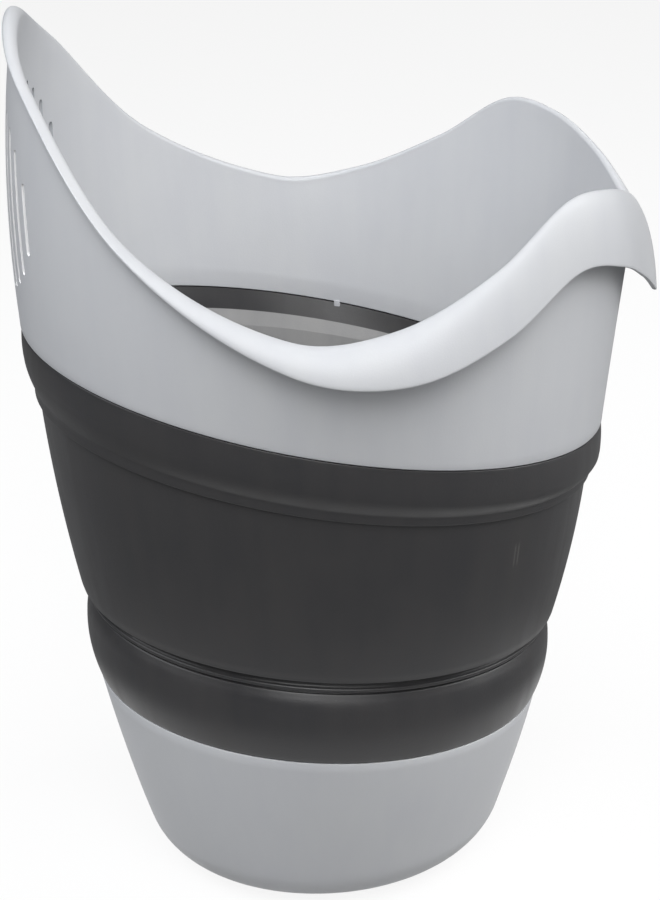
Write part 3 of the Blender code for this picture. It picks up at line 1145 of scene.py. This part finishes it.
@dataclass(frozen=True)
class RimCurve:
    """The waved rim, read on a smooth curve through its stations."""

    stations: tuple[RimStation, ...] = (
        RimStation(0, 0.0707, 0.0102, 0.0000, 0.0080, 0.0275, 0.0015),
        RimStation(18, 0.0801, 0.0089, 0.0000, 0.0053, 0.0257, 0.0015),
        RimStation(34, 0.0856, 0.0102, 0.0005, 0.0047, 0.0223, 0.0015),
        RimStation(47, 0.0837, 0.0107, 0.0007, 0.0038, 0.0199, 0.0015),
        RimStation(62, 0.0637, 0.0098, 0.0004, 0.0049, 0.0181, 0.0015),
        RimStation(80, 0.0444, 0.0091, 0.0000, 0.0081, 0.0137, 0.0015),
        RimStation(97, 0.0365, 0.0072, 0.0001, 0.0066, 0.0079, 0.0015),
        RimStation(125, 0.0511, 0.0050, 0.0008, 0.0031, 0.0021, 0.0017),
        RimStation(152, 0.0854, 0.0014, 0.0021, 0.0019, 0.0019, 0.0021),
        RimStation(180, 0.0999, -0.0042, 0.0030, 0.0027, 0.0028, 0.0026),
    )

    def at(self, azimuth: float, name: str) -> float:
        """Reads one size of the rim.

        Args:
            azimuth: Where, in radians from the handle.
            name: Which of the stations' sizes.

        Returns:
            The size on the curve through the stations.
        """
        degrees = abs(math.degrees(math.atan2(math.sin(azimuth), math.cos(azimuth))))
        known = [(station.azimuth, getattr(station, name)) for station in self.stations]
        first = (-known[1][0], known[1][1])
        last = (2 * known[-1][0] - known[-2][0], known[-2][1])
        known = [first] + known + [last]
        degrees = min(max(degrees, 0.0), 180.0)
        place = 1
        while known[place + 1][0] < degrees:
            place += 1
        (a0, v0), (a1, v1), (a2, v2), (a3, v3) = known[place - 1:place + 3]
        span = a2 - a1
        share = (degrees - a1) / span
        slope1 = span * (v2 - v0) / (a2 - a0)
        slope2 = span * (v3 - v1) / (a3 - a1)
        cubic = 2 * (v1 - v2) + slope1 + slope2
        square = 3 * (v2 - v1) - 2 * slope1 - slope2
        return v1 + share * (slope1 + share * (square + share * cubic))


@dataclass(frozen=True)
class SlotField:
    """The strainer slots in the pouring wall."""

    width: float = 0.0025
    pitch: float = 0.0067
    field_width: float = 0.093
    field_height: float = 0.064
    below_rim: float = 0.055
    cut_depth: float = 0.020
    end_share: float = 0.49
    end_steps: int = 8

    def offsets(self) -> list[float]:
        """How far each slot stands from the field's middle, along the wall."""
        number = int((self.field_width - self.width) / self.pitch) + 1
        return [(place - (number - 1) / 2) * self.pitch for place in range(number)]

    def length(self, aside: float) -> float:
        """Length of the slot that stands so far from the middle."""
        share = 2 * aside / self.field_width
        return max(self.field_height * math.sqrt(1.0 - share * share), 2 * self.width)


@dataclass
class Collar(RingShell):
    """The rigid collar: a flared wall with a waved rim, a turned-over lip and strainer slots."""

    # Finish of the near slots' cut faces, painted lighter as light through their thin edges.
    painted_slot_light_finish: bpy.types.Material | None = None
    sides: int = 384
    wall_steps: int = 20
    rim: RimCurve = RimCurve()
    slots: SlotField = SlotField()
    lip_thickness: float = 0.0016
    lip_edge: float = 0.0010
    lip_edge_share: float = 0.4
    lip_end_turn: float = 12.0
    lip_web: float = 0.0019
    lip_web_growth: float = 0.09
    tab_azimuth: float = 84.0
    tab_width: float = 0.0022
    tab_height: float = 0.0046
    tab_inset: float = 0.00011
    tab_drop: float = 0.00161
    tab_steps: int = 3
    heel_rise: float = 0.0008
    roll_steps: int = 8
    lip_steps: int = 24
    edge_steps: int = 8
    web_steps: int = 16
    foot_steps: int = 4

    def wall(self, azimuth: float, share: float) -> Point:
        """Outside radius and height of the wall.

        Args:
            azimuth: Where, in radians from the handle.
            share: Height share from the seam (0) to the crest (1).

        Returns:
            Radius and height.
        """
        s = self.sizes
        rise = self.rim.at(azimuth, "rise")
        flare = self.rim.at(azimuth, "flare")
        bow = swell(self.rim.at(azimuth, "belly"), share)
        return s.collar_seam_radius + flare * share + bow, s.collar_seam + rise * share

    def inner_face(self, azimuth: float, roll_share: float) -> list[Point]:
        """Points up the wall's inside, from above the seam to under the crest's roll.

        Args:
            azimuth: Where, in radians from the handle.
            roll_share: Height share where the crest's roll begins.

        Returns:
            The points, lowest first.
        """
        shares = [step / self.wall_steps * roll_share for step in range(1, self.wall_steps + 1)]
        places = [self.wall(azimuth, share) for share in shares]
        return [(radius - self.sizes.rigid_wall, height) for radius, height in places]

    def lip(self, azimuth: float, crest_radius: float) -> list[Point]:
        """Points over the lip, round its edge and back under it to the wall.

        Args:
            azimuth: Where, in radians from the handle.
            crest_radius: Radius of the crest's highest point.

        Returns:
            The points in that order.
        """
        s = self.sizes
        rise = self.rim.at(azimuth, "rise")
        drop = self.rim.at(azimuth, "drop")
        crest = s.collar_seam + rise
        lip_out = s.collar_seam_radius + self.rim.at(azimuth, "flare") + self.rim.at(azimuth, "overhang")
        end_turn = math.radians(self.lip_end_turn)
        reach = (lip_out - crest_radius) / math.cos(end_turn)
        fall = (drop - self.lip_edge) / (1.0 - math.sin(end_turn))
        points = arc((crest_radius, crest - fall), (reach, fall), 90, self.lip_end_turn, self.lip_steps)[1:]
        edge_half = (self.lip_thickness / 2, self.lip_edge * self.lip_edge_share)
        edge_level = crest - drop + edge_half[1]
        points += arc((lip_out - edge_half[0], edge_level), edge_half, 0, -180, self.edge_steps)[:-1]
        web = self.lip_web + self.lip_web_growth * drop
        web_radius = self.wall(azimuth, 1.0 - web / rise)[0]
        under = (lip_out - self.lip_thickness - web_radius, drop - web - edge_half[1])
        return points + arc((web_radius, edge_level), under, 0, 90, self.web_steps)

    def section(self, azimuth: float) -> list[Point]:
        """The collar's section, from its tongue up the inside, over the lip and down the outside.

        Args:
            azimuth: Where, in radians from the handle.

        Returns:
            Its (radius, height) points.
        """
        s = self.sizes
        rise = self.rim.at(azimuth, "rise")
        crest = s.collar_seam + rise
        tongue_in = s.collar_seam_radius - s.rigid_wall
        tongue_out = tongue_in + s.tongue_thickness
        tongue_low = s.collar_seam - s.tongue_height
        nick = s.edge_round / 2
        points = [(tongue_in + nick, tongue_low), (tongue_in, tongue_low + nick), (tongue_in, s.collar_seam)]
        roll = self.rim.at(azimuth, "roll")
        points += self.inner_face(azimuth, 1.0 - roll / rise)
        crest_radius = points[-1][0] + roll
        points += arc((crest_radius, crest - roll), roll, 180, 90, self.roll_steps)[1:]
        points += self.lip(azimuth, crest_radius)
        web_share = 1.0 - (self.lip_web + self.lip_web_growth * self.rim.at(azimuth, "drop")) / rise
        steps = self.wall_steps
        points += [self.wall(azimuth, step / steps * web_share) for step in range(steps - 1, 0, -1)]
        points += [(s.collar_seam_radius + nick / 2, s.collar_seam + self.heel_rise)]
        foot_centre = (s.collar_seam_radius - s.edge_round, s.collar_seam + s.edge_round)
        points += arc(foot_centre, s.edge_round, 0, -90, self.foot_steps)
        return points + [(tongue_out, s.collar_seam), (tongue_out, tongue_low + nick)]

    def add_block(self, place: Vector, azimuth: float, size: Place) -> bpy.types.Object:
        """Adds a block whose first side points outwards.

        Args:
            place: Its middle in the upright drawing.
            azimuth: Where it stands, in radians from the handle.
            size: Its sides outwards, along the wall and upwards.

        Returns:
            The block, in place and still turned.
        """
        bpy.ops.object.select_all(action="DESELECT")
        spot = self.sizes.lean(place)
        bpy.ops.mesh.primitive_cube_add(size=1.0, location=spot, rotation=(0.0, 0.0, azimuth))
        block = bpy.context.object
        block.scale = size
        bpy.ops.object.transform_apply(location=False, rotation=False, scale=True)
        return block

    def slot_cutter(self, aside: float) -> bpy.types.Object:
        """Makes the round-ended block that cuts one slot and gives the cut faces their finish, lighter on
        the near slots as painted light.

        Args:
            aside: How far the slot stands from the field's middle, along the wall.

        Returns:
            The block, in place.
        """
        field_share = 1.0 - self.slots.below_rim / self.rim.at(math.pi, "rise")
        wall_radius, level = self.wall(math.pi, field_share)
        azimuth = math.pi + aside / wall_radius
        place = Vector((wall_radius * math.cos(azimuth), wall_radius * math.sin(azimuth), level))
        size = (self.slots.cut_depth, self.slots.width, self.slots.length(aside))
        block = self.add_block(place, azimuth, size)
        self.round_ends(block)
        # Near slots get the painted light, far ones the plain finish.
        block.data.materials.append(self.painted_slot_light_finish if aside > 0.0 else self.finish)
        return block

    def round_ends(self, block: bpy.types.Object) -> None:
        """Rounds the four edges that run along the cut, so that the slot ends in half circles.

        Args:
            block: The cutter's block.
        """
        bpy.ops.object.mode_set(mode="EDIT")
        bpy.ops.mesh.select_mode(type="EDGE")
        bpy.ops.mesh.select_all(action="DESELECT")
        bpy.ops.object.mode_set(mode="OBJECT")
        for edge in block.data.edges:
            first, last = (block.data.vertices[index].co for index in edge.vertices)
            edge.select = abs(first.x - last.x) > self.slots.cut_depth / 2
        bpy.ops.object.mode_set(mode="EDIT")
        offset = self.slots.width * self.slots.end_share
        bpy.ops.mesh.bevel(offset=offset, segments=self.slots.end_steps, profile=0.5, affect="EDGES")
        bpy.ops.object.mode_set(mode="OBJECT")

    def cut_slots(self, piece: bpy.types.Object) -> None:
        """Cuts every slot through the pouring wall.

        Args:
            piece: The collar's shell.
        """
        blocks = [self.slot_cutter(aside) for aside in self.slots.offsets()]
        bpy.ops.object.select_all(action="DESELECT")
        for block in blocks:
            block.select_set(True)
        bpy.context.view_layer.objects.active = blocks[0]
        bpy.ops.object.join()
        cutter = bpy.context.object
        cut = piece.modifiers.new("strainer_slots", "BOOLEAN")
        cut.object = cutter
        cut.operation = "DIFFERENCE"
        cut.solver = "EXACT"
        cut.material_mode = "TRANSFER"
        bpy.ops.object.select_all(action="DESELECT")
        piece.select_set(True)
        bpy.context.view_layer.objects.active = piece
        bpy.ops.object.modifier_apply(modifier=cut.name)
        bpy.data.objects.remove(cutter)
        bpy.ops.object.shade_smooth_by_angle(angle=SMOOTH_ANGLE)
        log.info("cut %d slots", len(blocks))

    def make_tab(self) -> bpy.types.Object:
        """Makes the small keying tab that hangs under the collar's inner edge.

        Returns:
            The tab, riding with the collar.
        """
        s = self.sizes
        azimuth = math.radians(self.tab_azimuth)
        radius = s.collar_seam_radius - s.rigid_wall + self.tab_inset
        height = s.collar_seam - s.tongue_height - self.tab_drop
        place = Vector((radius * math.cos(azimuth), radius * math.sin(azimuth), height))
        tab = self.add_block(place, azimuth, (s.tongue_thickness, self.tab_width, self.tab_height))
        tab.name = "collar_key_tab"
        tab.data.name = "collar_key_tab"
        bpy.ops.object.transform_apply(location=True, rotation=True, scale=True)
        bpy.ops.object.mode_set(mode="EDIT")
        bpy.ops.mesh.select_all(action="SELECT")
        bpy.ops.mesh.bevel(offset=s.edge_round / 2, segments=self.tab_steps, profile=0.5, affect="EDGES")
        bpy.ops.object.mode_set(mode="OBJECT")
        bpy.ops.object.shade_smooth_by_angle(angle=SMOOTH_ANGLE)
        tab.data.materials.append(self.finish)
        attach(tab, Body.COLLAR.value)
        log.info("%s: %d vertices", tab.name, len(tab.data.vertices))
        return tab

    def make(self) -> bpy.types.Object:
        """Builds the collar, cuts its slots, rides it on its body and adds its tab.

        Returns:
            The collar's shell.
        """
        piece = self.build("collar_shell", closed=True)
        self.cut_slots(piece)
        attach(piece, Body.COLLAR.value)
        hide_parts("collar")
        self.make_tab()
        return piece


def stand(name: str, data: bpy.types.ID, place: Vector, turn: Quaternion) -> bpy.types.Object:
    """Stands a lamp or a camera in the scene.

    Args:
        name: The object's name.
        data: The lamp or camera data.
        place: Where it stands.
        turn: Its rotation.

    Returns:
        The new object.
    """
    holder = bpy.data.objects.new(name, data)
    bpy.context.scene.collection.objects.link(holder)
    holder.location = place
    holder.rotation_mode = "QUATERNION"
    holder.rotation_quaternion = turn
    return holder


@dataclass(frozen=True)
class Softbox:
    """A square area lamp, aimed at the pail."""

    name: str
    place: Place
    size: float
    watts: float
    colour: Colour = (1.0, 1.0, 1.0)

    def hang(self, target: Vector) -> None:
        """Adds the lamp and aims it.

        Args:
            target: The point it shines at.
        """
        lamp = bpy.data.lights.new(self.name, "AREA")
        lamp.shape = "SQUARE"
        lamp.size = self.size
        lamp.energy = self.watts
        lamp.color = self.colour
        place = Vector(self.place)
        stand(self.name, lamp, place, (target - place).to_track_quat("-Z", "Y"))


@dataclass(frozen=True)
class Studio:
    """Floor and surround, white to the camera and dim to the pail; soft lamps and the camera."""

    white: tuple[float, ...] = (1.0, 1.0, 1.0, 1.0)
    floor_size: float = 12.0
    floor_colour: Colour = (0.86, 0.86, 0.86)
    floor_bounce: Colour = (0.24, 0.24, 0.24)
    floor_whiteness: float = 0.88
    floor_roughness: float = 0.8
    floor_specular: float = 0.1
    # Inner and outer radius of the floor's glow near the foot, a painted reflection.
    glow_radius: float = 0.135
    glow_end: float = 0.18
    surround: float = 0.06
    lamp_target: Place = (0.0, 0.0, 0.16)
    lamps: tuple[Softbox, ...] = (
        Softbox("front_high_box", (0.05, -0.92, 1.32), 1.1, 13.4),
        Softbox("front_box", (0.05, -1.30, 0.98), 1.0, 11.2),
        Softbox("right_high_box", (1.10, -0.10, 1.10), 0.9, 11.6),
        Softbox("left_high_box", (-1.10, -0.10, 1.10), 0.9, 14.4, (0.95, 0.97, 1.0)),
        Softbox("right_box", (1.20, 0.05, 0.55), 0.7, 5.0),
    )
    camera_place: Place = (-0.01518, -0.70360, 0.40561)
    camera_target: Place = (0.00620, -0.02990, 0.15260)
    camera_roll: float = -2.31
    camera_lens: float = 90.04
    camera_sensor: float = 36.0
    camera_clip: Point = (0.01, 50.0)

    def looked_at(self, sheet: NodeSheet) -> bpy.types.NodeSocket:
        """A mask of the rays that come straight from the camera."""
        return sheet.add("ShaderNodeLightPath").outputs["Is Camera Ray"]

    def glow(self, sheet: NodeSheet) -> bpy.types.NodeSocket:
        """A mask of the floor round the foot, which glows white to glossy rays only, though it is no lamp,
        and so paints a reflection of bright floor on the pail.

        Args:
            sheet: The floor's nodes.

        Returns:
            A mask that is 1 near the foot for glossy rays.
        """
        place = sheet.add("ShaderNodeTexCoord").outputs["Object"]
        distance = sheet.add("ShaderNodeVectorMath", {0: place}, operation="LENGTH").outputs["Value"]
        near = sheet.span(distance, self.glow_radius, self.glow_end, 1.0, 0.0)
        return sheet.maths("MULTIPLY", near, sheet.add("ShaderNodeLightPath").outputs["Is Glossy Ray"])

    def build_surround(self) -> None:
        """Makes the world white to the camera and dim to the object."""
        world = bpy.data.worlds.new("white_surround")
        sheet = fresh_sheet(world)
        shown = sheet.add("ShaderNodeBackground", {"Color": self.white, "Strength": 1.0})
        felt = sheet.add("ShaderNodeBackground", {"Color": self.white, "Strength": self.surround})
        mixed = sheet.add("ShaderNodeMixShader", {
            0: self.looked_at(sheet), 1: felt.outputs[0], 2: shown.outputs[0],
        })
        sheet.add("ShaderNodeOutputWorld", {"Surface": mixed.outputs[0]})
        bpy.context.scene.world = world

    def build_floor(self) -> None:
        """Lays the pale floor, which keeps the pail's shadow."""
        bpy.ops.object.select_all(action="DESELECT")
        bpy.ops.mesh.primitive_plane_add(size=self.floor_size)
        floor = bpy.context.object
        floor.name = "studio_floor"
        material = bpy.data.materials.new("pale_floor")
        sheet = fresh_sheet(material)
        looked_at = self.looked_at(sheet)
        lit = sheet.add("ShaderNodeBsdfPrincipled", {
            "Base Color": sheet.blend(looked_at, (*self.floor_bounce, 1.0), (*self.floor_colour, 1.0)),
            "Roughness": self.floor_roughness,
            "Specular IOR Level": self.floor_specular,
        })
        white = sheet.add("ShaderNodeEmission", {"Color": self.white, "Strength": 1.0})
        share = sheet.maths("MULTIPLY", looked_at, self.floor_whiteness)
        # Near the foot the floor glows white to glossy rays only, a painted reflection on the silicone.
        share = sheet.maths("MAXIMUM", share, self.glow(sheet))
        mixed = sheet.add("ShaderNodeMixShader", {0: share, 1: lit.outputs[0], 2: white.outputs[0]})
        sheet.add("ShaderNodeOutputMaterial", {"Surface": mixed.outputs[0]})
        floor.data.materials.append(material)

    def build_camera(self) -> None:
        """Stands the camera where the photograph was taken from."""
        lens = bpy.data.cameras.new("photo_camera")
        lens.lens = self.camera_lens
        lens.sensor_width = self.camera_sensor
        lens.clip_start, lens.clip_end = self.camera_clip
        place = Vector(self.camera_place)
        level = (Vector(self.camera_target) - place).to_track_quat("-Z", "Y")
        rolled = level @ Quaternion((0.0, 0.0, 1.0), math.radians(self.camera_roll))
        bpy.context.scene.camera = stand("photo_camera", lens, place, rolled)

    def build(self) -> None:
        """Builds the whole studio."""
        bpy.context.scene.view_settings.view_transform = "Standard"
        self.build_surround()
        self.build_floor()
        for lamp in self.lamps:
            lamp.hang(Vector(self.lamp_target))
        self.build_camera()


def main() -> None:
    """Builds the pail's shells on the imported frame, then the studio, and reports each piece."""
    logging.basicConfig(level=logging.INFO, format="%(name)s: %(message)s")
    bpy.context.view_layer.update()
    sizes = PailSizes()
    effects = SurfaceEffects()
    effects.build()
    pale = PalePolypropylene().build(effects)
    # Cut faces of the near slots, painted lighter as light through the thin edges.
    cut = SlotLightPaintedPolypropylene().build(effects)
    dark = CharcoalSilicone().build(effects)
    # A lighter grey painted on the folding wall's inner face as sheen.
    painted_sheen = SheenPaintedSilicone().build(effects)

    BaseCup(sizes, pale).make()
    LowerSkin(sizes, dark).make()
    for half in Half:
        MiddleSkin(sizes, dark, painted_sheen_finish=painted_sheen, half=half).make()
    UpperSkin(sizes, dark, painted_sheen_finish=painted_sheen).make()
    Collar(sizes, pale, painted_slot_light_finish=cut).make()
    Studio().build()


if __name__ == "__main__":
    main()
